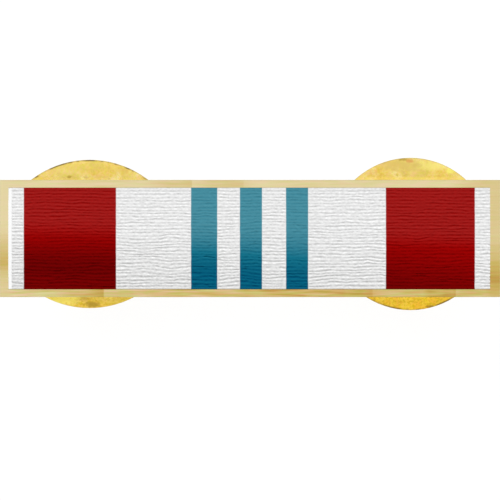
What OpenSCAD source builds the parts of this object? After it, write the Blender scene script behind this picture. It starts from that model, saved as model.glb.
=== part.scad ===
// Medal lapel pin: a striped woven ribbon held in a gilt frame, with two posts soldered
// to the frame's back and a butterfly clutch on each post.
// It lies face up on the tips of the clutches' wings. +Z points out of its face, +X runs
// along the bar and +Y across it. The origin is on the surface under its middle.

/* [Ribbon] */
// Width of the ribbon that shows, across its stripes
ribbon_w = 34.95; // [34:0.05:36]
// Height of the ribbon that shows, along its stripes
ribbon_h = 7.35; // [6.5:0.05:9]
// Thickness of the ribbon under its ribs: two layers of cloth where its edges are turned in
ribbon_t = 0.36; // [0.3:0.02:0.5]
// Rise of the ribbon's middle over its long edges
ribbon_crown = 0.2; // [0.1:0.02:0.3]
// Number of woven ribs over the height
rib_count = 32; // [24:1:40]
// Height of one woven rib
rib_rise = 0.04; // [0.02:0.01:0.06]

/* [Frame] */
// Width of the rim along the two long sides
rim_long = 0.56; // [0.4:0.02:0.8]
// Width of the rim at the left end
rim_left = 0.63; // [0.4:0.01:1]
// Width of the rim at the right end
rim_right = 0.74; // [0.4:0.01:1]
// Height of the frame, from its back to the top of its rim
frame_t = 1.35; // [1.3:0.05:1.6]
// Thickness of the plate under the ribbon's long edges
plate_t = 0.84; // [0.7:0.02:0.9]
// Rounding of the rim's outer edge
rim_round = 0.04; // [0.04:0.01:0.15]

/* [Posts] */
// Distance between the two posts
post_spacing = 23.7; // [20:0.1:26]
// Radius of a post
post_r = 0.6; // [0.5:0.05:0.7]
// Length of a post behind the frame
post_l = 8; // [7:0.1:8]
// Length of the point at a post's end
post_point = 0.7; // [0.4:0.1:1]
// Radius of the soldered foot of a post
foot_r = 1.75; // [1.2:0.05:2]
// Thickness of the soldered foot
foot_t = 0.3; // [0.2:0.05:0.35]
// Distance from the posts down to the middle of the bar, which sits low on them
bar_drop = 0.35; // [0:0.01:0.6]

/* [Clutches] */
// Space for cloth between the frame's back and the clutches
cloth_gap = 2.1; // [2.05:0.05:2.3]
// Height of a clutch, from its front to the tips of its wings
clutch_h = 6; // [5.5:0.1:6.5]
// Half length of the left clutch's disc, which is a little oval
left_disc_a = 6.28; // [5.7:0.01:6.4]
// Half width of the left clutch's disc
left_disc_b = 5.48; // [5.2:0.01:5.7]
// Half length of the right clutch's disc
right_disc_a = 5.83; // [5.7:0.01:6.4]
// Half width of the right clutch's disc
right_disc_b = 5.63; // [5.2:0.01:5.7]
// Thickness of the sheet brass of disc, hub and wings
sheet_t = 0.35; // [0.3:0.01:0.4]
// Height of the disc's turned edge
edge_h = 0.85; // [0.6:0.05:1]
// Rounding of the disc's turned edge
edge_r = 0.08; // [0.04:0.02:0.3]
// Radius of the hub
hub_r = 2.6; // [2.5:0.05:2.8]
// Height of the hub
hub_h = 3.1; // [2.9:0.05:3.3]
// Radius of the hub's flange
flange_r = 3.4; // [3:0.05:3.8]
// Width of a wing at its widest
wing_w = 4.2; // [3.6:0.1:4.4]
// Width of the wings' neck, where they pass through the hub
neck_w = 2.2; // [1.8:0.1:2.4]
// Lean of a wing away from the post where it leaves its bend, in degrees
wing_lean = 8; // [4:1:12]
// Radius of a wing's outward curve
flare_r = 5.7; // [5:0.1:7]
// Radius of a wing's corners
wing_corner = 1.2; // [0.8:0.1:1.4]
// Radius of the wire of the grip spring
wire_r = 0.25; // [0.2:0.01:0.28]

/* [Hidden] */

$fn = 96;
red = [0.6, 0.09, 0.09];
white = [0.9, 0.9, 0.91];
blue = [0.2, 0.5, 0.6];
pale_gold = [0.87, 0.79, 0.56];
bright_gold = [0.91, 0.8, 0.42];
steel = [0.75, 0.75, 0.74];

// Stripes from the left: colour, and width on a ribbon of 34.95 mm
stripes = [
    [white, 1.1], [red, 6.7], [white, 5.45], [blue, 1.9], [white, 1.65], [blue, 1.6],
    [white, 1.75], [blue, 1.6], [white, 5.65], [red, 6.5], [white, 1.05]
];
stripe_scale = ribbon_w / stripes_width(len(stripes));

// Gap between pieces that lie against each other
gap = 0.02;
overlap = 0.05;
frame_w = ribbon_w + rim_left + rim_right + 2 * gap;
frame_h = ribbon_h + 2 * rim_long + 2 * gap;
tray_w = ribbon_w + 2 * gap;
tray_h = ribbon_h + 2 * gap;
// The two ends of the rim differ, so the ribbon lies a little off the bar's middle
ribbon_x = (rim_left - rim_right) / 2;
bar_y = -bar_drop;
back_z = clutch_h + cloth_gap;
floor_z = back_z + plate_t;
// The plate is stamped with a low crown, which the ribbon follows
crown_r = (pow(tray_h / 2, 2) + pow(ribbon_crown, 2)) / (2 * ribbon_crown);
crown_z = floor_z + ribbon_crown - crown_r;
rib_steps = 4;
ribbon_steps = rib_count * rib_steps;

hole_r = post_r + 0.15;
disc_z = clutch_h - sheet_t;
hub_z = disc_z - gap - hub_h;
hub_round = 0.5;
hub_in_r = hub_r - sheet_t;
window_w = neck_w + 0.3;
window_h = 1;
wing_z = hub_z + sheet_t + gap;
bend_mid_r = 0.4 + sheet_t / 2;
bend_y = hub_r + 0.4;
bend_z = wing_z + sheet_t / 2 - bend_mid_r;
// A point beyond the bend, where the wing leaves it
bend_out = 2 * [cos(wing_lean), sin(wing_lean)];
wing_hole_r = post_r + 0.4;
wire_x = post_r + gap + wire_r;
wire_z = hub_z + sheet_t + 1.65;
wire_bend_y = 1;
wire_end_y = -1.7;

// Width of the first n stripes
function stripes_width(n) = n == 0 ? 0 : stripes[n - 1][1] + stripes_width(n - 1);
// Height of the crowned surface at y, raised by t along its radius
function crown_at(y, t) = crown_z + sqrt(pow(crown_r + t, 2) - y * y);
// Height of the woven ribs over the cloth: a round back for each rib
function rib_at(y) = rib_rise * abs(sin(180 * rib_count * (y / ribbon_h + 0.5)));
function ribbon_y(i) = ribbon_h * (i / ribbon_steps - 0.5);

// Section of the ribbon: its plain back, then its ribbed face
module ribbon_section() {
    polygon(concat(
        [for (i = [0 : rib_count]) [ribbon_y(i * rib_steps), crown_at(ribbon_y(i * rib_steps), gap)]],
        [for (i = [ribbon_steps : -1 : 0])
            [ribbon_y(i), crown_at(ribbon_y(i), gap + ribbon_t) + rib_at(ribbon_y(i))]]
    ));
}

// A solid with the section of its 2D child, from x0 to x1
module along_x(x0, x1) {
    translate([x0, 0, 0]) rotate([90, 0, 90]) linear_extrude(x1 - x0) children();
}

// The same, from y0 to y1
module along_y(y0, y1) {
    translate([0, y1, 0]) rotate([90, 0, 0]) linear_extrude(y1 - y0) children();
}

// Section of the frame's block: square at the back, rounded at the front
module block_section(w) {
    translate([-w / 2, back_z]) square([w, frame_t - rim_round]);
    translate([-w / 2 + rim_round, back_z]) square([w - 2 * rim_round, frame_t]);
    for (side = [-1, 1])
        translate([side * (w / 2 - rim_round), back_z + frame_t - rim_round]) circle(rim_round);
}

module at_bar() {
    translate([0, bar_y, 0]) children();
}

module at_posts() {
    for (side = [-1, 1]) translate([side * post_spacing / 2, 0, 0]) children();
}

// The tray that the ribbon lies in, with its crowned floor left standing
module tray_space() {
    translate([ribbon_x, 0, 0]) difference() {
        translate([-tray_w / 2, -tray_h / 2, floor_z]) cube([tray_w, tray_h, frame_t]);
        along_x(-tray_w, tray_w) translate([0, crown_z]) circle(crown_r, $fn = 360);
    }
}

// A post with its pointed end and its soldered foot
module post() {
    translate([0, 0, back_z - foot_t]) cylinder(r = foot_r, h = foot_t + overlap);
    translate([0, 0, back_z - post_l + post_point]) cylinder(r = post_r, h = post_l - post_point);
    translate([0, 0, back_z - post_l]) cylinder(r1 = post_r / 4, r2 = post_r, h = post_point);
}

// Stamped tray with its rim, and the two posts soldered to its back
module frame() {
    color(pale_gold) {
        at_bar() difference() {
            intersection() {
                along_x(-frame_w / 2, frame_w / 2) block_section(frame_h);
                along_y(-frame_h / 2, frame_h / 2) block_section(frame_w);
            }
            tray_space();
        }
        at_posts() post();
    }
}

// One piece of ribbed ribbon, woven in stripes
module ribbon() {
    at_bar() translate([ribbon_x - ribbon_w / 2, 0, 0])
        for (i = [0 : len(stripes) - 1])
            color(stripes[i][0])
                along_x(stripe_scale * stripes_width(i), stripe_scale * stripes_width(i + 1))
                    ribbon_section();
}

// Section of the disc from its middle out to r: a flat plate with a turned edge
module disc_section(r) {
    translate([0, disc_z]) square([r - edge_r, sheet_t]);
    translate([r - edge_r, clutch_h - edge_r]) intersection() {
        circle(edge_r);
        square(edge_r);
    }
    translate([r - sheet_t, clutch_h - edge_h]) square([sheet_t, edge_h - edge_r]);
}

// A sector of the disc, cut from its section turned about a point that lies at a distance
// from the middle. The slope is that of its upper side.
module disc_sector(direction, distance, r, slope) {
    wedge = 2 * clutch_h;
    rotate([0, 0, direction]) translate([distance, 0, 0]) intersection() {
        rotate_extrude() disc_section(r);
        linear_extrude(wedge) polygon([[0, 0], [wedge, -wedge * slope], [wedge, wedge * slope]]);
    }
}

// Front of a clutch: the disc that lies against the cloth, with a low step round its middle.
// Its outline has four arcs that meet smoothly, because the line through the centres of two
// of them is the long side of a triangle with sides of 3, 4 and 5.
module clutch_disc(a, b) {
    end_off = 1.5 * (a - b);
    side_off = 2 * (a - b);
    step_h = 0.12;
    color(bright_gold) difference() {
        union() {
            for (direction = [0, 180]) disc_sector(direction, end_off, a - end_off, 4 / 3);
            for (direction = [90, 270]) disc_sector(direction, -side_off, b + side_off, 3 / 4);
        }
        translate([0, 0, clutch_h - step_h]) cylinder(r = flange_r + 0.2, h = 1);
        translate([0, 0, disc_z - 1]) cylinder(r = hole_r, h = 2);
    }
}

// Section of the hub: a flange under the disc, a round wall and an end with a rounded edge
module hub_section() {
    top = hub_z + hub_h;
    translate([hub_in_r, top - sheet_t]) square([flange_r - hub_in_r, sheet_t]);
    translate([hub_in_r, hub_z + hub_round]) square([sheet_t, hub_h - hub_round]);
    translate([hub_r - hub_round, hub_z + hub_round]) mirror([0, 1]) intersection() {
        difference() {
            circle(hub_round);
            circle(hub_round - sheet_t);
        }
        square(hub_round);
    }
    translate([hole_r, hub_z]) square([hub_r - hub_round - hole_r, sheet_t]);
}

// Round housing of the grip spring, with two windows for the wings
module clutch_hub() {
    color(bright_gold) difference() {
        rotate_extrude() hub_section();
        translate([-window_w / 2, -hub_r - 1, hub_z + sheet_t])
            cube([window_w, 2 * hub_r + 2, window_h]);
    }
}

// Flat ring with the thickness of the sheet, where its middle has the radius r
module sheet_ring(r) {
    difference() {
        circle(r + sheet_t / 2);
        circle(r - sheet_t / 2);
    }
}

// Section of one wing and half of the strip between them, from y = 0 outwards:
// the flat strip, a bend down, and a long curve away from the post to below the tip
module wing_section() {
    translate([0, wing_z]) square([bend_y, sheet_t]);
    translate([bend_y, bend_z]) {
        intersection() {
            sheet_ring(bend_mid_r);
            polygon([[0, 0], bend_out, [bend_out[0], bend_out[0]], [0, bend_out[0]]]);
        }
        rotate(wing_lean) intersection() {
            translate([bend_mid_r + flare_r, 0]) sheet_ring(flare_r);
            translate([bend_mid_r - sheet_t, -clutch_h]) square([flare_r, clutch_h]);
        }
    }
}

// Outline of a wing seen along Y: a narrow neck, and an ear with round corners
module wing_outline() {
    ear_top = wing_z + sheet_t - 0.5;
    translate([-neck_w / 2, ear_top - 1]) square([neck_w, 2]);
    translate([-wing_w / 2, wing_corner]) square([wing_w, ear_top - wing_corner - 0.6]);
    translate([-wing_w / 2 + 0.6, ear_top - 1]) square([wing_w - 1.2, 1]);
    translate([-wing_w / 2 + wing_corner, 0]) square([wing_w - 2 * wing_corner, wing_corner]);
    for (side = [-1, 1]) {
        translate([side * (wing_w / 2 - wing_corner), wing_corner]) circle(wing_corner);
        translate([side * (wing_w / 2 - 0.6), ear_top - 0.6]) circle(0.6);
    }
}

// One strip of spring brass: the two wings that are pinched to let the post go
module clutch_wings() {
    color(bright_gold) difference() {
        intersection() {
            for (turn = [0, 180])
                rotate([0, 0, turn]) along_x(-wing_w / 2, wing_w / 2) wing_section();
            along_y(-clutch_h, clutch_h) wing_outline();
        }
        translate([0, 0, wing_z - 1]) cylinder(r = wing_hole_r, h = 2);
    }
}

// Hairpin of spring wire inside the hub, whose two legs hold the post between them
module clutch_spring() {
    color(steel) translate([0, 0, wire_z]) {
        for (side = [-1, 1])
            translate([side * wire_x, wire_end_y, 0]) rotate([-90, 0, 0])
                cylinder(r = wire_r, h = wire_bend_y - wire_end_y, $fn = 48);
        translate([0, wire_bend_y, 0]) rotate_extrude(angle = 180)
            translate([wire_x, 0]) circle(wire_r, $fn = 48);
    }
}

module at_left() {
    translate([-post_spacing / 2, 0, 0]) children();
}

module at_right() {
    translate([post_spacing / 2, 0, 0]) children();
}

frame();
ribbon();
at_left() clutch_disc(left_disc_a, left_disc_b);  // left_clutch_disc
at_left() clutch_hub();  // left_clutch_hub
at_left() clutch_wings();  // left_clutch_wings
at_left() clutch_spring();  // left_clutch_spring
at_right() clutch_disc(right_disc_a, right_disc_b);  // right_clutch_disc
at_right() clutch_hub();  // right_clutch_hub
at_right() clutch_wings();  // right_clutch_wings
at_right() clutch_spring();  // right_clutch_spring
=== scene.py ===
# %% [markdown]
# # A medal lapel pin
# A strip of striped ribbon lies in a narrow gold frame. Two posts behind the frame go through
# the cloth of a jacket, and a butterfly clutch grips each of them. The metal comes from the
# packed model as it is. This lesson gives every surface its finish and weaves the ribbon.

# %% Load the packed model
import math

import bpy
import numpy as np
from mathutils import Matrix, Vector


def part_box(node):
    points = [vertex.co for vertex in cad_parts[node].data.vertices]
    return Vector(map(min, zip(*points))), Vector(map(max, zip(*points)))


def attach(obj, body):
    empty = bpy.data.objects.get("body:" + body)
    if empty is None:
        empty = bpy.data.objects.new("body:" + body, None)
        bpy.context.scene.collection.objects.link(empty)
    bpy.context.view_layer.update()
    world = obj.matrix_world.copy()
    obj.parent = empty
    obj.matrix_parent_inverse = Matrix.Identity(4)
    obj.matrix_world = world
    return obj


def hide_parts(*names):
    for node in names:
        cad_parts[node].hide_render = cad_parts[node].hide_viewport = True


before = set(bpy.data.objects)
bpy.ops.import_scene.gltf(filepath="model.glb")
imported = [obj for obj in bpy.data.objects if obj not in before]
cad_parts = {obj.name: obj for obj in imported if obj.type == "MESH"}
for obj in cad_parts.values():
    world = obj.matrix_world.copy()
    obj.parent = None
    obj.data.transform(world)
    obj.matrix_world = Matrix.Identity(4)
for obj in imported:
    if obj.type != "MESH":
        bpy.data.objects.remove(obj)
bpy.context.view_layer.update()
MM = 0.001
print("nodes:", sorted(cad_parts))

# %% [markdown]
# ## The camera
# The photograph looks straight at the pin's face, and the bar reaches both of its sides. Here
# the bar is a hair wider than the picture, so that its gold runs to the edges as it does there.
# A long lens far away keeps the bar's walls out of sight, as in the photograph. The distance
# follows from the lens: what the picture shows of the bar has to fill the width of the sensor.
# The bar's middle lies a little above the picture's, so the camera stands a little below it.

# %% Set up the camera
PHOTO_PIXELS = 500
BAR_PIXELS = 500.6
BAR_MIDDLE_ROW = 238.5
LENS = 200
SENSOR = 36
NEAREST = 0.01

frame_low, frame_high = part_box("frame")
bar_width = frame_high.x - frame_low.x
bar_middle = (frame_low + frame_high) / 2
pixel = bar_width / BAR_PIXELS

camera = bpy.data.objects.new("camera", bpy.data.cameras.new("camera"))
camera.data.lens = LENS
camera.data.sensor_width = SENSOR
camera.data.clip_start = NEAREST
camera.location = (
    bar_middle.x,
    bar_middle.y - (PHOTO_PIXELS / 2 - BAR_MIDDLE_ROW) * pixel,
    frame_high.z + pixel * PHOTO_PIXELS * LENS / SENSOR,
)
bpy.context.scene.collection.objects.link(camera)
bpy.context.scene.camera = camera
print("camera in mm:", [round(place / MM, 1) for place in camera.location])

# %% [markdown]
# ## Sums made of shader nodes
# A procedural finish is arithmetic on places and noise. Wiring that by hand hides the sum, so
# `Wire` wraps a node's output and overloads the operators: `1 - mask * 0.5` adds two Math
# nodes. Only numbers go through them, because a Math node turns a colour grey.

# %% Wrap a socket in arithmetic
def operator(operation, reflected=False):
    def method(self, other):
        terms = (other, self) if reflected else (self, other)
        return self.finish.math(operation, *terms)
    return method


class Wire:
    """The output of a node, used in sums like a number."""

    __add__, __radd__ = operator("ADD"), operator("ADD", True)
    __sub__, __rsub__ = operator("SUBTRACT"), operator("SUBTRACT", True)
    __mul__, __rmul__ = operator("MULTIPLY"), operator("MULTIPLY", True)
    __truediv__, __rtruediv__ = operator("DIVIDE"), operator("DIVIDE", True)
    __pow__, __rpow__ = operator("POWER"), operator("POWER", True)

    def __init__(self, finish, socket):
        self.finish = finish
        self.socket = socket

    def __abs__(self):
        return self.finish.math("ABSOLUTE", self)


print("operators:", [name for name in vars(Wire) if name.endswith("__")])

# %% [markdown]
# ## A finish
# `Finish` is a node tree being wired up, of a material or of the studio's background. Its
# `node` method adds any kind of node: it sets the node's settings first and then its sockets,
# from numbers, colours or other wires. The other methods are the nodes that this pin needs
# most. Colours and places are mixed, multiplied and dimmed as whole vectors.

# %% Wire up node trees
class Finish:
    """The node tree of a material or a world."""

    def __init__(self, owner):
        owner.use_nodes = True
        self.owner = owner
        self.tree = owner.node_tree
        self.tree.nodes.clear()

    def node(self, kind, settings, sockets, output=0):
        node = self.tree.nodes.new("ShaderNode" + kind)
        for key, value in settings.items():
            if key == "stops":
                self.set_stops(node.color_ramp, value)
            else:
                setattr(node, key, value)
        for key, value in sockets.items():
            if isinstance(value, Wire):
                self.tree.links.new(value.socket, node.inputs[key])
            else:
                node.inputs[key].default_value = value
        return Wire(self, node.outputs[output])

    def set_stops(self, ramp, stops):
        while len(ramp.elements) < len(stops):
            ramp.elements.new(1)
        for element, (place, colour) in zip(ramp.elements, stops):
            element.position = place
            element.color = (*colour, 1)

    def math(self, operation, *terms):
        return self.node("Math", {"operation": operation}, dict(enumerate(terms)))

    def mix(self, share, first, second):
        colours = [c if isinstance(c, Wire) else (*c, 1) for c in (first, second)]
        sockets = {0: share, 6: colours[0], 7: colours[1]}
        return self.node("Mix", {"data_type": "RGBA"}, sockets, 2)

    def ramp(self, value, stops):
        return self.node("ValToRGB", {"stops": stops}, {0: value})

    def dim(self, colour, light):
        return self.node("VectorMath", {"operation": "SCALE"}, {0: colour, "Scale": light})

    def multiply(self, vector, factors):
        """A place or a colour, each of its three parts times a factor of its own."""
        return self.node("VectorMath", {"operation": "MULTIPLY"}, {0: vector, 1: factors})

    def fade(self, value, start, end):
        """0 where value is at start, 1 where it is at end, and smooth between."""
        sockets = {"Value": value, "From Min": start, "From Max": end}
        return self.node("MapRange", {"interpolation_type": "SMOOTHSTEP"}, sockets)

    def noise(self, place, scale=1.0, detail=2.0):
        sockets = {"Vector": place, "Scale": scale, "Detail": detail}
        return self.node("TexNoise", {}, sockets)

    def place(self, kind, scale):
        """A place from texture coordinates, scaled, and its three coordinates."""
        coordinates = self.node("TexCoord", {}, {}, kind)
        spot = self.multiply(coordinates, (scale, scale, scale))
        return spot, *(self.node("SeparateXYZ", {}, {0: spot}, axis) for axis in "XYZ")

    def place_mm(self):
        """The place on the object in millimetres, and its three coordinates."""
        return self.place("Object", 1 / MM)

    def bump(self, height, distance_mm, strength):
        sockets = {"Height": height, "Distance": distance_mm * MM, "Strength": strength}
        return self.node("Bump", {}, sockets)

    def surface(self, **sockets):
        named = {key.replace("_", " "): value for key, value in sockets.items()}
        self.output("OutputMaterial", self.node("BsdfPrincipled", {}, named))

    def output(self, kind, shader):
        """Ends the tree in its output node."""
        end = self.tree.nodes.new("ShaderNode" + kind)
        self.tree.links.new(shader.socket, end.inputs["Surface"])


print("methods:", [name for name in vars(Finish) if not name.startswith("_")])

# %% [markdown]
# ## The ribbon's section
# The ribbon's cut edges are turned under, so that no raw edge shows at the rim. A flat strip
# with a bump would do for the face, but it has no thickness and nothing to turn under. So the
# cloth's section is one closed loop: along the underside of one flap, round the fold, across
# the face, round the other fold, and back along the cloth's inner side. All of it follows the
# low crown of the plate. The cloth is a hair fuller than the packed model's ribbon and rises at
# its folds, because a gap or a dip at the rim would draw a dark line that the photograph
# doesn't have. A piece of the loop leaves out its last point where the next piece starts.

# %% Measure the ribbon's section
CROWN = 0.2
RIBBON_T = 0.36
CLOTH_T = 0.17
FLAP = 1.4
FOLD_OUT = 0.012
FULLER = 0.022
EDGE_LIFT = 0.10
FOLD_ROWS = 7
FLAP_ROWS = 4
INNER_ROWS = 12

ribbon_low, ribbon_high = (np.array(corner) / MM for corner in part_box("ribbon"))
ribbon_w, ribbon_h = (float(side) for side in (ribbon_high - ribbon_low)[:2])
ribbon_x = float(ribbon_low[0])
ribbon_y = float(ribbon_low[1] + ribbon_high[1]) / 2
crown_r = ((ribbon_h / 2) ** 2 + CROWN**2) / (2 * CROWN)
fold_y = ribbon_h / 2 + FULLER - FOLD_OUT
flap_y = fold_y - FLAP


def crowned(y, above):
    """Height of a point of the section that lies above the ribbon's back."""
    return ribbon_low[2] + np.sqrt(crown_r**2 - y**2) - crown_r + CROWN + above


def level(start, end, rows, above):
    y = np.linspace(start, end, rows)
    return np.stack([y, crowned(y, above)], axis=1)


def fold(side, start, end):
    """The turned edge: half an oval from the back to the face, or the other way."""
    turn = np.radians(np.linspace(start, end, FOLD_ROWS))
    y = fold_y + FOLD_OUT * np.cos(turn)
    above = (RIBBON_T + EDGE_LIFT) / 2 * (1 + np.sin(turn))
    return np.stack([side * y, crowned(fold_y, above)], axis=1)


before_face = [level(flap_y, fold_y, FLAP_ROWS, 0)[:-1], fold(1, -90, 90)[:-1]]
after_face = [
    fold(-1, 90, -90)[:-1],
    level(-fold_y, -flap_y, FLAP_ROWS, 0),
    level(-flap_y, -fold_y, FLAP_ROWS, CLOTH_T),
    level(-fold_y, fold_y, INNER_ROWS, RIBBON_T - CLOTH_T),
    level(fold_y, flap_y, FLAP_ROWS, CLOTH_T),
]
fold_length = np.linalg.norm(np.diff(fold(1, -90, 90), axis=0), axis=1).sum()

# %% [markdown]
# ## Smooth noise
# Medal ribbon is ribbed: thick threads run across it under fine ones, and each thick thread
# shows as a rounded ridge. On the pin they run along the bar. A real weave isn't even, so the
# ridges wander, swell and fade. Smooth noise does that: random numbers on a coarse grid,
# blended in between. The grid's step sets how fast the ridges change along the bar.

# %% Make smooth noise on a grid
def smooth_noise(along, across, seed):
    """Noise from -1 to 1 at the places given in grid steps. The two arrays have one shape."""
    rng = np.random.default_rng(seed)
    size = (int(along.max()) + 3, int(across.max()) + 3)
    table = rng.uniform(-1, 1, size)
    i, j = along.astype(int), across.astype(int)
    u, v = along - i, across - j
    u, v = u * u * (3 - 2 * u), v * v * (3 - 2 * v)
    near = table[i, j] * (1 - u) + table[i + 1, j] * u
    far = table[i, j + 1] * (1 - u) + table[i + 1, j + 1] * u
    return near * (1 - v) + far * v


sample = smooth_noise(*np.meshgrid(np.linspace(0, 9, 90), np.arange(9.0), indexing="ij"), 0)
print("noise from", round(sample.min(), 2), "to", round(sample.max(), 2))

# %% [markdown]
# ## The valleys between the ridges
# The eye sees the thin dark valleys more than the ridges. An even grid moved up and down would
# blur them, so each valley is a row of points of its own, which stays sharp however it wanders.
# A slow noise bends neighbouring valleys together, and two faster ones move each valley by
# itself, so that ridges swell and narrow. The depth of a valley varies along it at three
# scales, and where it is shallow, two ridges run together. All this gets livelier towards the
# lower edge, as in the photograph. The first and the last valley lie at the folds, where they
# stay straight and shallow. A layer of noise is given as its length in millimetres, how many
# valleys it takes in, and its strength.

# %% Let the valleys wander
RIBS = 32
COLUMNS = 500
WANDERS = [(2.4, 6, 0.34), (0.9, 1, 0.24), (0.3, 1, 0.10)]
DEPTHS = [(1.2, 1, 0.35), (0.14, 1, 0.48), (0.4, 1, 0.34)]
MEAN_DEPTH = 0.72
SHALLOWEST, DEEPEST = 0.1, 1.2
AT_FOLD = 0.2
CALM, GROWING = 0.8, 0.45

columns_x = np.linspace(-FULLER, ribbon_w + FULLER, COLUMNS)
along, valley = np.meshgrid(columns_x + FULLER, np.arange(RIBS + 1.0), indexing="ij")
free = np.clip(np.minimum(valley, RIBS - valley) / 2, 0, 1)
livelier = CALM + GROWING * valley / RIBS


def layered(mean, layers, seed):
    """A mean with layers of smooth noise on it, each with a seed of its own."""
    total = mean
    for number, (length, valleys, strength) in enumerate(layers):
        total = total + strength * smooth_noise(along / length, valley / valleys, seed + number)
    return total


wander = free * livelier * layered(0, WANDERS, seed=1)
valley_y = fold_y * (1 - 2 * (valley + wander) / RIBS)
depth = np.clip(layered(MEAN_DEPTH, DEPTHS, seed=4), SHALLOWEST, DEEPEST) * livelier
depth[:, [0, -1]] *= AT_FOLD
print("valleys:", valley_y.shape[1], "mean depth", round(depth.mean(), 2))

# %% [markdown]
# ## The stripes
# Warp threads of three colours make the stripes, and their places along the bar are a short
# table of widths in millimetres. The ridges flatten where two colours meet and at the smooth
# selvedge on the left, so the table is needed before the weave.

# %% List the stripes
STRIPES = [
    ("white", 1.1), ("red", 6.7), ("white", 5.45), ("blue", 1.9), ("white", 1.65),
    ("blue", 1.6), ("white", 1.75), ("blue", 1.6), ("white", 5.65), ("red", 6.46),
    ("white", 1.09),
]
SELVEDGE = 0.22

stripe_ends = np.cumsum([width for _, width in STRIPES])
print("stripes:", len(STRIPES), "over", round(stripe_ends[-1], 2), "mm")

# %% [markdown]
# ## Weaving the face
# A ridge has four rows of points: a valley, a flank, the crest and the other flank, on the
# curve of a squared sine, which is as round in the valley as on the ridge. How deep a point
# lies also becomes painted shade and painted glint, for the dye to read later. It is above 0
# in the valleys, where it paints shade, and below 0 on the ridges, where it paints the glint
# of thread catching the light. `GLINT` says how strong the painted glint is.

# %% Weave the face
RELIEF = 0.06
CREST = 0.022
GLINT = 1.05
FLANKS = np.array([0, 0.25, 0.5, 0.75])
SEAM = 0.09
AT_SEAM = 0.35
SELVEDGE_EDGE = 0.05
LIFT_POWER = 4

near_seam = np.abs(columns_x[:, None] - stripe_ends[None, :-1]).min(axis=1)
off_selvedge = np.clip((columns_x - SELVEDGE) / SELVEDGE_EDGE, 0, 1)
ribbed = np.clip(near_seam / SEAM, AT_SEAM, 1) * off_selvedge
curve = np.sin(math.pi * FLANKS) ** 2


def between_valleys(values):
    """The values of the valleys blended onto every row of the face but the last."""
    near, far = values[:, :-1, None], values[:, 1:, None]
    return (near * (1 - FLANKS) + far * FLANKS).reshape(COLUMNS, -1)


liveliness = between_valleys(depth) * ribbed[:, None]
in_valley = liveliness * np.tile(1 - curve, RIBS)
# Painted shade in the valleys (above 0) and a painted glint on the ridges (below 0).
painted_shade_and_glint = in_valley - GLINT * liveliness * np.tile(curve, RIBS)
face_y = between_valleys(valley_y)
face_z = crowned(face_y, RIBBON_T + EDGE_LIFT * (face_y / fold_y) ** LIFT_POWER)
face_z += CREST * ribbed[:, None] - RELIEF * in_valley
print("rows on the face:", face_y.shape[1])

# %% [markdown]
# ## The ribbon's mesh
# The section repeats in columns along the bar, with the woven face in its place. Every column
# is joined to the next with quads, and a many-sided face closes each end. The painted shade of
# the valleys and the painted glint of the ridges go with the mesh, under the name `valley`.

# %% Join the columns to a mesh
SHARP_DEGREES = 80


def in_columns(runs):
    return np.repeat(np.concatenate(runs)[None], COLUMNS, axis=0)


face = np.stack([face_y, face_z], axis=2)
section = np.concatenate([in_columns(before_face), face, in_columns(after_face)], axis=1)
rows = section.shape[1]
cloth = np.empty((COLUMNS, rows, 3))
cloth[:, :, 0] = ribbon_x + columns_x[:, None]
cloth[:, :, 1] = ribbon_y + section[:, :, 0]
cloth[:, :, 2] = section[:, :, 1]

c, r = np.meshgrid(np.arange(COLUMNS - 1), np.arange(rows), indexing="ij")
start, following = c * rows, (r + 1) % rows
corners = [start + r, start + rows + r, start + rows + following, start + following]
quads = np.stack(corners, axis=2).reshape(-1, 4).tolist()
last = (COLUMNS - 1) * rows
ends = [list(range(rows)), [last + row for row in reversed(range(rows))]]
mesh = bpy.data.meshes.new("striped_ribbon")
mesh.from_pydata(cloth.reshape(-1, 3) * MM, [], quads + ends)
mesh.shade_smooth()
mesh.set_sharp_from_angle(angle=math.radians(SHARP_DEGREES))

shade = np.zeros((COLUMNS, rows))
face_start = sum(len(run) for run in before_face)
shade[:, face_start:face_start + painted_shade_and_glint.shape[1]] = painted_shade_and_glint
mesh.attributes.new("valley", "FLOAT", "POINT").data.foreach_set("value", shade.ravel())
print("columns:", COLUMNS, "rows:", rows, "faces:", len(mesh.polygons))

# %% [markdown]
# ## Putting the ribbon in the frame
# The woven ribbon takes the place of the packed model's plain one and rides on the bar. It is
# one piece of cloth folded over at both edges.

# %% Put the ribbon in the frame
ribbon = bpy.data.objects.new("striped_ribbon", mesh)
bpy.context.scene.collection.objects.link(ribbon)
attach(ribbon, "bar")
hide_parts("ribbon")
print("in the frame:", ribbon.name)

# %% [markdown]
# ## The ribbon's dyes, with painted light and shade
# Silk-like thread looks paler where the crown faces the light and deeper below it. Matt cloth
# on so low a crown hardly changes tone by light alone, so that light and shade are painted into
# each dye: a ramp goes from a pale, painted-lit tone to a deep, painted-shaded one, once for the
# ridges, with their painted glint, and once, darker with painted shade, for the valleys. The
# thread's fuzz makes the dye uneven, most of all the white. At the foot of the ribbon the white
# is a little greyer, and the coloured thread a little paler.

# %% List the dyes
# Ridge tones: each dye's colour with the ridges' painted glint, from painted-lit pale (0) to
# painted-shaded deep (1).
LIT_RIDGE_DYES = {
    "white": [(0, (0.904, 0.904, 0.904)), (1, (0.876, 0.876, 0.873))],
    "red": [
        (0, (0.352, 0.001, 0.001)), (0.14, (0.314, 0.001, 0.001)),
        (1, (0.156, 0.0004, 0.0006)),
    ],
    "blue": [
        (0, (0.0725, 0.262, 0.333)), (0.6, (0.012, 0.170, 0.246)),
        (1, (0.0024, 0.120, 0.198)),
    ],
}
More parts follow.
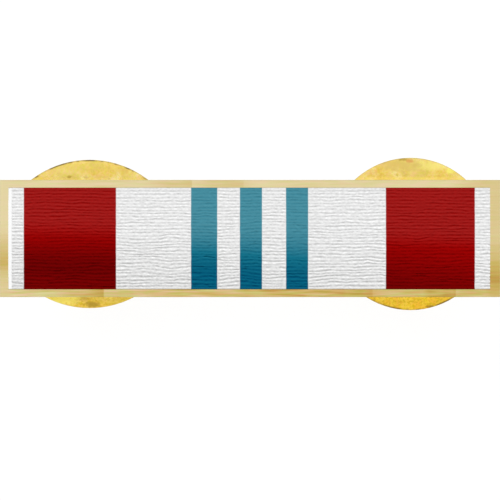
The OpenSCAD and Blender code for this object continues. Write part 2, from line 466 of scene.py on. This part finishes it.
# Valley tones: each dye's colour darkened with painted shade, from pale (0) to deep (1).
SHADED_VALLEY_DYES = {
    "white": [(0, (0.522, 0.522, 0.522)), (1, (0.488, 0.488, 0.486))],
    "red": [(0, (0.228, 0.0001, 0.0001)), (0.14, (0.203, 0, 0)), (1, (0.096, 0, 0))],
    "blue": [
        (0, (0.0370, 0.199, 0.264)), (0.6, (0.0005, 0.113, 0.184)),
        (1, (0, 0.062, 0.136)),
    ],
}
# The whitish painted sheen on the red's ridges.
SHEEN_RED = (0.352, 0.0166, 0.0152)
SELVEDGE_WHITE = (0.86, 0.86, 0.86)
FUZZ = {"white": 0.55, "red": 0.4, "blue": 0.3}
AT_FOOT = {"white": -0.06, "red": 0.17, "blue": 0.06}
print("dyes:", {colour: len(stops) for colour, stops in LIT_RIDGE_DYES.items()})

# %% [markdown]
# ## Where each stripe lies
# Colours stored with the mesh would change in steps of a column, so the shader finds the
# stripes itself. A stripe is where the place along the bar lies between two values. Fine noise,
# stretched across the bar like the warp threads, roughens its edges by about a thread.

# %% Find the stripes
WARP_THREADS = (12, 2, 2)
FRAY = 0.04
SOFT = 0.03

cloth_finish = Finish(bpy.data.materials.new("woven_ribbon"))
spot, spot_x, spot_y, _ = cloth_finish.place_mm()
warp = cloth_finish.noise(cloth_finish.multiply(spot, WARP_THREADS))
from_left = spot_x - ribbon_x + (warp - 0.5) * FRAY


def stripes_of(colour):
    """1 on the stripes of one colour and 0 on the others."""
    stripes = []
    for (name, width), end in zip(STRIPES, stripe_ends.tolist()):
        if name == colour:
            begun = cloth_finish.fade(from_left, end - width - SOFT, end - width + SOFT)
            stripes.append(begun * cloth_finish.fade(from_left, end + SOFT, end - SOFT))
    return sum(stripes)


over_white = {colour: stripes_of(colour) for colour in ("red", "blue")}
selvedge = cloth_finish.fade(from_left, SELVEDGE + SOFT, SELVEDGE - SOFT)
print("over the white:", list(over_white))

# %% [markdown]
# ## The soft line between painted light and painted shade
# The painted light on the pale upper part of the ribbon ends along a soft line that curves
# down to the right, and the change to the painted shade below is wider there. The red has a
# whitish painted sheen besides, which ends along a straight line of its own. The foot is a
# narrow band at the lower edge that weakens to the right.

# %% Draw the soft line
LINE_Y, LINE_DROP, LINE_CURVE = -0.55, 2.07, 2.5
LINE_HALF, LINE_WIDENS = 1.45, 1.2
SHEEN_Y, SHEEN_DROP, SHEEN_HALF = 0.73, 0.95, 0.78
FOOT_FROM, FOOT_TO, FOOT_WEAKENS = -2.2, -3.1, 0.8

up_bar = spot_y - ribbon_y
share = cloth_finish.math("MAXIMUM", from_left / ribbon_w, 0)
line_y = ribbon_y + LINE_Y - share**LINE_CURVE * LINE_DROP
# 0 in the painted light above the soft line, 1 in the painted shade below it.
lit_to_shaded = cloth_finish.fade((spot_y - line_y) / (share * LINE_WIDENS + LINE_HALF), 1, -1)
# Where the red's whitish painted sheen lies.
painted_sheen = cloth_finish.fade((up_bar + share * SHEEN_DROP - SHEEN_Y) / SHEEN_HALF, -1, 1)
at_foot = cloth_finish.fade(up_bar, FOOT_FROM, FOOT_TO) * (1 - share * FOOT_WEAKENS)
print("the line falls by", LINE_DROP, "mm")

# %% [markdown]
# ## Dyeing the cloth
# Each dye mixes its ridge tone, painted with glint, and its valley tone, painted with shade, by
# the value that was stored with the mesh. The stripes then lay red and blue over white. The
# cloth is matt, with the fine threads as a slight bump.

# %% Dye the ribbon
FUZZY = (5, 9, 5)
CLOTH_ROUGH, WARP_ROUGH = 0.6, 0.3
THREAD_HEIGHT = 0.01

fuzz = cloth_finish.noise(cloth_finish.multiply(spot, FUZZY))
stored = cloth_finish.node("Attribute", {"attribute_name": "valley"}, {}, "Fac")
in_shade = (stored + GLINT) / (1 + GLINT)
tones = {}
for colour in LIT_RIDGE_DYES:
    ridge_tone = cloth_finish.ramp(lit_to_shaded, LIT_RIDGE_DYES[colour])
    valley_tone = cloth_finish.ramp(lit_to_shaded, SHADED_VALLEY_DYES[colour])
    if colour == "red":
        ridge_tone = cloth_finish.mix(painted_sheen, ridge_tone, SHEEN_RED)
    tone = cloth_finish.mix(in_shade, ridge_tone, valley_tone)
    light = 1 + (fuzz - 0.5) * FUZZ[colour] + at_foot * AT_FOOT[colour]
    tones[colour] = cloth_finish.dim(tone, light)
dyed = tones["white"]
for colour, stripes in over_white.items():
    dyed = cloth_finish.mix(stripes, dyed, tones[colour])
cloth_finish.surface(
    Base_Color=cloth_finish.mix(selvedge, dyed, SELVEDGE_WHITE),
    Roughness=CLOTH_ROUGH + warp * WARP_ROUGH,
    Specular_IOR_Level=0.01,
    Normal=cloth_finish.bump(warp, THREAD_HEIGHT, strength=0.5),
)
mesh.materials.append(cloth_finish.owner)
print("dyed:", list(tones), "nodes:", len(cloth_finish.tree.nodes))

# %% [markdown]
# ## The frame's satin
# The frame is plated with pale gold and left satin, so it reflects the room softly. Brushed
# metal could have a stretched gloss, but an exported model may lose that, so the brush's
# hair-fine lines are in the colour and the bump. The tone is one number, which a ramp turns
# into a colour from pale to deep. It drifts slowly and is deeper below the bar's middle. Wider
# streaks are uneven: strongest on the long sides of the rim's face and towards the lower edge,
# and faint on the short sides and the walls.

# %% Brush the frame
BRUSH = (0.5, 14, 14)
STREAK = (0.4, 6, 6)
DRIFTS, BRUSHED, STREAKED = 0.35, 0.15, 1.45
PALEST, DEEPER_BELOW = 0.04, 0.62
BELOW_FROM, BELOW_TO = 1.2, -2.2
WALL_END, FACE_START = 0.15, 0.05
CORNER = 0.35
AT_TOP, MORE_BELOW = 0.45, 0.6
ON_WALLS, ON_SHORT_SIDES = 0.2, 0.3

plate_finish = Finish(bpy.data.materials.new("pale_gold"))
spot, spot_x, spot_y, spot_z = plate_finish.place_mm()
up_bar = spot_y - ribbon_y
drift = plate_finish.noise(spot, scale=0.2, detail=1)
brushed = plate_finish.noise(plate_finish.multiply(spot, BRUSH), detail=3)
streaks = plate_finish.noise(plate_finish.multiply(spot, STREAK), detail=3)

rim_z = frame_high.z / MM
lower = plate_finish.fade(up_bar, ribbon_h / 2, -ribbon_h / 2)
on_rim = plate_finish.fade(spot_z, rim_z - WALL_END, rim_z - FACE_START)
along_bar = plate_finish.fade(abs(spot_x) - ribbon_w / 2, CORNER, -CORNER)
uneven = (AT_TOP + lower * MORE_BELOW) * (ON_WALLS + on_rim * (1 - ON_WALLS))
uneven = uneven * (ON_SHORT_SIDES + along_bar * (1 - ON_SHORT_SIDES))
tone = (drift - 0.5) * DRIFTS + (brushed - 0.5) * BRUSHED + (streaks - 0.5) * uneven * STREAKED
tone = tone + PALEST + plate_finish.fade(up_bar, BELOW_FROM, BELOW_TO) * DEEPER_BELOW
print("rim at", round(rim_z, 2), "mm")

# %% [markdown]
# ## Paler and deeper places on the rim
# Noise can't know where the photograph's rim is paler or deeper, so that is charted one by one.
# A patch is an oval with its middle, its half width and half height in millimetres, and how much
# deeper it is. A stroke of the polishing buff changes the tone slowly along the rim's face and
# ends at once. It is given as its start and its end along the bar, the upper (1) or the lower
# (-1) side of the rim, and how much deeper it gets.

# %% Chart the rim
PATCHES = [
    (-3.8, 3.9, 3.6, 1.5, 0.25), (6.0, 3.9, 3.0, 1.5, 0.07), (17.8, 2.0, 3.4, 4.0, 0.26),
    (-17.8, -4.1, 3.9, 2.0, -0.40), (-8.6, -3.9, 2.9, 1.5, -0.24), (-2.3, -3.9, 1.8, 1.5, -0.17),
    (2.5, -3.9, 1.6, 1.5, 0.18), (6.2, -3.9, 0.7, 1.5, 0.16), (6.9, -3.9, 2.4, 1.5, 0.14),
    (13.6, -3.9, 0.9, 1.5, 0.28), (17.8, -2.9, 0.8, 1.2, 0.24), (17.6, -4.1, 1.6, 0.6, -0.12),
    (-17.8, -1.2, 1.0, 1.4, 0.07), (17.8, -0.9, 1.2, 1.6, -0.22),
]
STROKES = [
    (-12.6, -10.62, -1, 0.45), (8.2, 8.91, -1, 0.15), (13.6, 14.95, -1, 0.33),
    (-5.2, -4.22, 1, 0.12), (-2.6, -4.22, 1, -0.18), (-2.4, -0.46, 1, 0.14),
]
PATCH_EDGE, PATCH_HEART = 1.6, 0.2
STROKE_END = 0.05
RIM_FROM, RIM_TO = 2.6, 3.0

for patch_x, patch_y, half_w, half_h, deeper in PATCHES:
    from_patch = ((spot_x - patch_x) / half_w) ** 2 + ((up_bar - patch_y) / half_h) ** 2
    tone = tone + plate_finish.fade(from_patch, PATCH_EDGE, PATCH_HEART) * deeper
for start_x, end_x, side, deeper in STROKES:
    past = math.copysign(STROKE_END, end_x - start_x)
    stroke = plate_finish.fade(spot_x, start_x, end_x) * on_rim
    stroke = stroke * plate_finish.fade(spot_x, end_x + past, end_x - past)
    tone = tone + stroke * plate_finish.fade(up_bar * side, RIM_FROM, RIM_TO) * deeper
print("patches:", len(PATCHES), "strokes:", len(STROKES))

# %% [markdown]
# ## Solder at the posts
# Where the posts are soldered on, a little grey solder has crept out from under their feet. It
# is as thin as paint, so it is a colour and not a ring of metal. It lies on the tray's back,
# round each post, within a ragged circle.

# %% Creep the solder out
FRAME_T = 1.35
FOOT_R = 1.75
RAGGED = 0.9
THIN_OUT, FULL_OUT = 0.5, 0.1
INTO_TRAY, TRAY_BACK = 0.4, 0.1
DOWN_POST, POST_FOOT = 0.9, 0.4

clutch_low, clutch_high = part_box("right_clutch_disc")
post_x = (clutch_low.x + clutch_high.x) / 2 / MM
back_z = rim_z - FRAME_T

from_post = ((abs(spot_x) - post_x) ** 2 + spot_y**2) ** 0.5
ragged = from_post + (plate_finish.noise(spot, scale=2.2) - 0.5) * RAGGED
around_foot = plate_finish.fade(ragged, FOOT_R + THIN_OUT, FOOT_R + FULL_OUT)
at_back = plate_finish.fade(spot_z, back_z + INTO_TRAY, back_z + TRAY_BACK)
near_plate = plate_finish.fade(spot_z, back_z - DOWN_POST, back_z - POST_FOOT)
solder = around_foot * at_back * near_plate
print("posts at", round(post_x, 2), "mm from the middle")

# %% [markdown]
# ## The frame's pale gold
# The tone becomes a colour, and where the streaks are strong the gold leans to olive or to
# rose. A fine grain roughens the metal a little, and solder is duller than the plating.

# %% Plate the frame
PALE_TONES = [
    (0, (0.768, 0.655, 0.37)), (0.77, (0.60, 0.44, 0.125)), (1, (0.524, 0.327, 0.075)),
]
OLIVE_TINT = (0.92, 1.035, 0.85)
ROSE_TINT = (1.08, 0.965, 1.14)
TINTED = (0.7, 7, 7)
SOLDER = (0.56, 0.53, 0.47)
SOLDERED = 0.75
SATIN_ROUGH, GRAIN_ROUGH, SOLDER_ROUGH = 0.27, 0.12, 0.12
BRUSH_HEIGHT = 0.005


def dress(name, finish):
    """Gives a node of the packed model its finish."""
    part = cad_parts[name]
    part.data.materials.clear()
    part.data.materials.append(finish.owner)


gold = plate_finish.ramp(tone, PALE_TONES)
hue = plate_finish.noise(plate_finish.multiply(spot, TINTED))
tint = plate_finish.mix(plate_finish.fade(hue, 0.38, 0.62), OLIVE_TINT, ROSE_TINT)
gold = plate_finish.mix(uneven, gold, plate_finish.multiply(gold, tint))
grain = plate_finish.noise(spot, scale=9, detail=3)
plate_finish.surface(
    Base_Color=plate_finish.mix(solder * SOLDERED, gold, SOLDER),
    Metallic=1.0,
    Roughness=SATIN_ROUGH + grain * GRAIN_ROUGH + solder * SOLDER_ROUGH,
    Normal=plate_finish.bump(grain * 0.5 + brushed * 0.5, BRUSH_HEIGHT, strength=0.5),
)
dress("frame", plate_finish)
print("frame:", len(plate_finish.tree.nodes), "shader nodes")

# %% [markdown]
# ## Clouds on the brass
# The clutches are stamped from brass sheet and barely polished. Handling leaves clouds of
# lighter and deeper gold on them, and soft patches that lean to olive or to peach. One even
# gold would look like plastic. So a noise with fine detail makes the clouds, and a ramp gives
# them their colour. A tint is laid on where a noise of its own is high: the noise's scale and
# detail come first, then where it starts to show.

# %% Cloud the brass
BRASS_TONES = [
    (0.30, (0.99, 0.85, 0.38)), (0.48, (0.96, 0.74, 0.225)), (0.62, (0.91, 0.65, 0.13)),
    (0.80, (0.72, 0.47, 0.075)),
]
PITS, DEEPER_OUT = 0.45, 0.05
OLIVE = (0.84, 0.69, 0.19)
PEACH = (0.97, 0.67, 0.24)
TINTS = [(0.45, 3, 0.5, OLIVE, 0.6), (0.7, 2, 0.56, PEACH, 0.7)]
TINT_SOFT = 0.12


def clouded(finish, spot, outwards):
    """The brass's colour, and the clouds and pits that it is made of."""
    cloud = finish.noise(spot, scale=0.9, detail=5)
    pitted = finish.noise(spot, scale=6, detail=3)
    tone = cloud + (pitted - 0.5) * PITS + outwards * DEEPER_OUT
    gold = finish.ramp(tone, BRASS_TONES)
    for scale, detail, start, colour, strength in TINTS:
        tinted = finish.fade(finish.noise(spot, scale, detail), start, start + TINT_SOFT)
        gold = finish.mix(tinted * strength, gold, colour)
    return gold, cloud, pitted


print("tints on the brass:", len(TINTS))

# %% [markdown]
# ## Riper brass
# Brass darkens where it is touched. The discs' lower edges are the ripest, in two tones with a
# dark grain, and the right disc's more so than the left's. A fine mottle of three tints lies
# over everything. Heights on a disc go from -1 at its lower edge to 1 at its upper one.

# %% Ripen the brass
RIPE = (0.96, 0.53, 0.014)
RIPE_PALE = (0.94, 0.62, 0.028)
RIPENESS = {"left": 0.45, "right": 0.95}
RIPE_FROM, RIPE_TO = -0.5, -0.85
GRAIN = (0.64, 0.42, 0.01)
GRAINY = 0.65
MOTTLE = [(0.36, (0.94, 0.985, 0.76)), (0.5, (0.98, 0.98, 0.95)), (0.64, (1.0, 0.93, 1.1))]


def ripened(finish, gold, spot, up, cloud, side):
    """The brass of one disc after its years."""
    below = finish.fade(up, RIPE_FROM, RIPE_TO)
    patchy = finish.fade(finish.noise(spot, scale=1.4, detail=3), 0.42, 0.58)
    ripe = finish.mix(patchy, RIPE, RIPE_PALE)
    gold = finish.mix(below * (1.3 - cloud) * RIPENESS[side], gold, ripe)
    grain = finish.fade(finish.noise(spot, scale=5.5, detail=4), 0.44, 0.62) * below
    gold = finish.mix(grain * GRAINY, gold, GRAIN)
    return finish.multiply(gold, finish.ramp(finish.noise(spot, scale=5, detail=2), MOTTLE))


print("ripeness:", RIPENESS)

# %% [markdown]
# ## Stains and a painted highlight
# The larger stains are charted one by one, where the photograph has them. Each has its middle
# and its half width and half height as shares of the disc's, then a colour and a strength. Noise
# makes their outlines ragged, so that an oval looks like a stain.

# %% Chart the stains and a painted highlight
# A dark brown for a real stain on the right disc and for the painted shade line at the discs'
# edges.
TARNISH_AND_EDGE_SHADE = (0.12, 0.06, 0.02)
LEMON = (1.0, 0.92, 0.2)
RUST = (0.75, 0.33, 0.10)
# Pale straw yellow, used for a painted highlight.
BROWN = (0.48, 0.31, 0.04)
PAINTED_HIGHLIGHT = (1.0, 0.89, 0.25)
HONEY = (1.0, 0.86, 0.17)
DULL = (0.76, 0.56, 0.155)
MUSTARD = (0.80, 0.60, 0.09)
STAINS_AND_HIGHLIGHT = {
    "left": [
        (-0.24, 0.77, 0.025, 0.018, BROWN, 0.7), (-0.04, 0.76, 0.03, 0.02, BROWN, 0.3),
        (0.37, 0.85, 0.10, 0.05, BROWN, 0.15), (0.03, -0.95, 0.09, 0.035, BROWN, 0.95),
        (0.10, -0.95, 0.035, 0.025, BROWN, 0.5), (-0.07, -0.86, 0.09, 0.035, BROWN, 0.5),
        (0.33, -0.855, 0.035, 0.025, RUST, 0.35), (-0.34, -0.88, 0.20, 0.09, HONEY, 0.8),
        (0.32, -0.87, 0.26, 0.10, MUSTARD, 0.5),
    ],
    "right": [
        # The pale straw patch at the upper right of the right disc is a painted highlight.
        (-0.14, 0.90, 0.27, 0.08, DULL, 0.8), (0.27, 0.90, 0.18, 0.06, PAINTED_HIGHLIGHT, 0.55),
        (-0.01, 0.96, 0.045, 0.025, RUST, 0.75), (-0.10, 0.975, 0.05, 0.018, BROWN, 0.7),
        (0.09, 0.90, 0.06, 0.03, BROWN, 0.25), (-0.08, 0.79, 0.05, 0.04, BROWN, 0.25),
        (0.51, 0.83, 0.065, 0.035, LEMON, 0.85), (-0.48, 0.80, 0.08, 0.05, RUST, 0.25),
        (0.26, -0.95, 0.055, 0.02, TARNISH_AND_EDGE_SHADE, 0.6), (-0.47, -0.865, 0.035, 0.025, BROWN, 0.6),
        (-0.41, -0.90, 0.035, 0.02, BROWN, 0.6),
    ],
}
STAIN_RAGGED, STAIN_EDGE = 3.5, 1.8


def stained_and_highlit(finish, gold, spot, across, up, side):
    """The brass with the stains of one disc, and the painted highlight of the right one."""
    ragged = (finish.noise(spot, scale=3.5, detail=4) - 0.5) * STAIN_RAGGED
    for mark_across, mark_up, half_w, half_h, colour, strength in STAINS_AND_HIGHLIGHT[side]:
        from_mark = ((across - mark_across) / half_w) ** 2 + ((up - mark_up) / half_h) ** 2
        mark = finish.fade(from_mark + ragged, STAIN_EDGE, 0) * strength
        gold = finish.mix(mark, gold, colour)
    return gold


print("stains:", {side: len(charted) for side, charted in STAINS_AND_HIGHLIGHT.items()})

# %% [markdown]
# ## The line of painted shade
# Part of each disc's edge has a thin dark line: painted shade on the turned edge. An even ring
# would look drawn, so the line is only on the side that each disc's direction below points to,
# and a noise breaks it up.

# %% Draw the painted edge shade
# The side of each disc that its line of painted shade lies on.
SHADED_EDGE_TO = {"left": (-0.4, 0.9), "right": (0.3, -0.95)}
EDGE_SHADE_IN, EDGE_SHADE_OUT = 0.975, 0.987
FAINTEST, STRONGER = 0.12, 0.6


def edge_shaded(finish, gold, spot, across, up, from_middle, at_front, side):
    """The brass with a thin dark line of painted shade at the edge of its disc."""
    towards = across * SHADED_EDGE_TO[side][0] + up * SHADED_EDGE_TO[side][1]
    thicker = finish.fade(finish.noise(spot, scale=0.9, detail=3), 0.46, 0.54)
    line = finish.fade(from_middle, EDGE_SHADE_IN, EDGE_SHADE_OUT)
    line = line * finish.fade(towards, 0.2, 0.6) * at_front
    return finish.mix(line * (FAINTEST + thicker * STRONGER), gold, TARNISH_AND_EDGE_SHADE)


print("tarnished towards:", SHADED_EDGE_TO)

# %% [markdown]
# ## The clutches' bright brass
# All of this comes together here. A point's place on its disc is a share of the way to the
# edge, across and up. Beside and under the bar, in a band about as wide as the bar, the discs'
# faces are painted warmer and lighter: a painted reflection of the gold frame, which also
# lightens the shade that the bar casts there. The brass is smoother in that band too. Brown
# specks are a little rougher than the metal round them. The hub and the wings have the same
# finish.

# %% Finish the clutches
SPECK = (0.38, 0.25, 0.06)
# A warm gold painted near the bar: a painted reflection of the gold frame.
REFLECTED_GOLD = (1.0, 0.74, 0.16)
PAINTED_REFLECTION = 0.5
BAR_DROP = 0.06
BAND_OUT, BAND_IN = 0.835, 0.775
DISC_BACK, DISC_FRONT = 0.2, 0.1
BRASS_ROUGH, CLOUD_ROUGH, SPECK_ROUGH, SMOOTHER_NEAR_BAR = 0.2, 0.18, 0.2, 0.3
CLOUD_HEIGHT = 0.012


def brass_finish(side):
    """The finish of the left or the right clutch."""
    finish = Finish(bpy.data.materials.new(side + "_bright_gold"))
    spot, spot_x, spot_y, spot_z = finish.place_mm()
    low, high = (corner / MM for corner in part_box(side + "_clutch_disc"))
    across = (spot_x - (low.x + high.x) / 2) / ((high.x - low.x) / 2)
    up = (spot_y - (low.y + high.y) / 2) / ((high.y - low.y) / 2)
    from_middle = (across**2 + up**2) ** 0.5
    outwards = finish.fade(from_middle, 0.6, 1)
    at_front = finish.fade(spot_z, high.z - DISC_BACK, high.z - DISC_FRONT)
    # A band of painted reflection and painted light beside and under the bar; the brass is made
    # smoother there too.
    painted_bar_reflection = finish.fade(abs(up + BAR_DROP), BAND_OUT, BAND_IN) * at_front * PAINTED_REFLECTION
    specks = finish.fade(finish.noise(spot, scale=2.4, detail=3), 0.68, 0.8)
    specks = specks * (0.3 + outwards * 0.4)

    gold, cloud, pitted = clouded(finish, spot, outwards)
    gold = finish.mix(painted_bar_reflection, gold, REFLECTED_GOLD)
    gold = ripened(finish, gold, spot, up, cloud, side)
    gold = finish.mix(specks, gold, SPECK)
    gold = stained_and_highlit(finish, gold, spot, across, up, side)
    gold = edge_shaded(finish, gold, spot, across, up, from_middle, at_front, side)
    rough = BRASS_ROUGH + cloud * CLOUD_ROUGH + specks * SPECK_ROUGH
    finish.surface(
        Base_Color=gold,
        Metallic=1.0,
        Roughness=rough - painted_bar_reflection * SMOOTHER_NEAR_BAR,
        Normal=finish.bump(cloud + pitted * 0.3, CLOUD_HEIGHT, strength=0.6),
    )
    return finish


for side in ("left", "right"):
    brass = brass_finish(side)
    for part in ("disc", "hub", "wings"):
        dress(f"{side}_clutch_{part}", brass)
    print(side, "clutch:", len(brass.tree.nodes), "shader nodes")

# %% [markdown]
# ## The grip springs
# The hairpin in each hub is drawn steel wire. Drawing leaves it bright and smooth, with a
# slight change of tone from place to place. So little of it shows that one fine noise, for its
# colour and its roughness, is enough.

# %% Finish the springs
STEEL = (0.62, 0.62, 0.61)
DEEP_STEEL = (0.45, 0.45, 0.44)
WIRE_ROUGH, WIRE_UNEVEN = 0.25, 0.15

wire_finish = Finish(bpy.data.materials.new("spring_wire"))
spot, *_ = wire_finish.place_mm()
wire_grain = wire_finish.noise(spot, scale=12, detail=2)
wire_finish.surface(
    Base_Color=wire_finish.mix(wire_grain, STEEL, DEEP_STEEL),
    Metallic=1.0,
    Roughness=WIRE_ROUGH + wire_grain * WIRE_UNEVEN,
)
for side in ("left", "right"):
    dress(side + "_clutch_spring", wire_finish)
print("finishes:", [material.name for material in bpy.data.materials])

# %% [markdown]
# ## The table
# The photograph has a plain white ground. A pale table that glows, and lets about two thirds
# of the light through from above, stays almost white under faint shadows. It also leaves a
# clutch in sight that is drawn off its post to below the table. From below the table is clear,
# so that the back of the pin can be looked at.

# %% Set the table
TABLE_HALF = 2.0
TABLE_GREY = (0.36, 0.36, 0.36, 1)
TABLE_GLOW = 1.0
TABLE_SHARE = 0.35

corners = [(x * TABLE_HALF, y * TABLE_HALF, 0) for x, y in ((-1, -1), (1, -1), (1, 1), (-1, 1))]
table_mesh = bpy.data.meshes.new("table")
table_mesh.from_pydata(corners, [], [(0, 1, 2, 3)])
table = bpy.data.objects.new("table", table_mesh)
bpy.context.scene.collection.objects.link(table)

table_finish = Finish(bpy.data.materials.new("table"))
pale_top = table_finish.node("BsdfPrincipled", {}, {
    "Base Color": TABLE_GREY, "Roughness": 0.9, "Specular IOR Level": 0.0,
    "Emission Color": (1, 1, 1, 1), "Emission Strength": TABLE_GLOW,
})
clear = table_finish.node("BsdfTransparent", {}, {})
from_below = table_finish.node("NewGeometry", {}, {}, "Backfacing")
top_share = TABLE_SHARE - from_below * TABLE_SHARE
mixed = table_finish.node("MixShader", {}, {0: top_share, 1: clear, 2: pale_top})
table_finish.output("OutputMaterial", mixed)
table_mesh.materials.append(table_finish.owner)
print("table of", 2 * TABLE_HALF, "m")

# %% [markdown]
# ## The studio
# A metal shows nothing but its surroundings, and in an even white room gold looks like paint.
# So the studio is brightest overhead and dimmer towards the horizon, which draws a darker line
# round every rounded edge. Underneath it is bright again, for looks at the back of the pin. How
# high a direction points goes from -1 straight down to 1 straight up.

# %% Light the studio
ZENITH, HORIZON, NADIR = 1.285, 0.42, 1.07
DIM_TO, BRIGHT_ABOVE, BRIGHT_BELOW = 0.05, 0.75, -0.5

studio = Finish(bpy.data.worlds.new("studio"))
bpy.context.scene.world = studio.owner
*_, direction_z = studio.place("Generated", 1)
overhead = studio.fade(direction_z, DIM_TO, BRIGHT_ABOVE)
underneath = studio.fade(direction_z, -DIM_TO, BRIGHT_BELOW)
strength = HORIZON + overhead * (ZENITH - HORIZON) + underneath * (NADIR - HORIZON)
studio.output("OutputWorld", studio.node("Background", {}, {"Strength": strength}))
print("overhead", ZENITH, "horizon", HORIZON, "underneath", NADIR)

# %% [markdown]
# ## The lamp
# One large soft lamp above the pin's upper edge gives the light a direction, and the ridges of
# the ribbon their shade. It looks at the pin, and it is kept out of reflections, where it would
# draw a white spot on the rim. The standard view keeps the white ground white.

# %% Hang the lamp
LAMP_PLACE = (-0.08, 0.32, 0.30)
LAMP_SIZE = 0.5
LAMP_WATTS = 0.95

lamp = bpy.data.objects.new("upper_light", bpy.data.lights.new("upper_light", "AREA"))
lamp.data.size = LAMP_SIZE
lamp.data.energy = LAMP_WATTS
lamp.location = LAMP_PLACE
lamp.rotation_euler = lamp.location.to_track_quat("Z", "Y").to_euler()
lamp.visible_glossy = False
bpy.context.scene.collection.objects.link(lamp)
bpy.context.scene.view_settings.view_transform = "Standard"
print("lamp at", LAMP_PLACE, "m")

# %% [markdown]
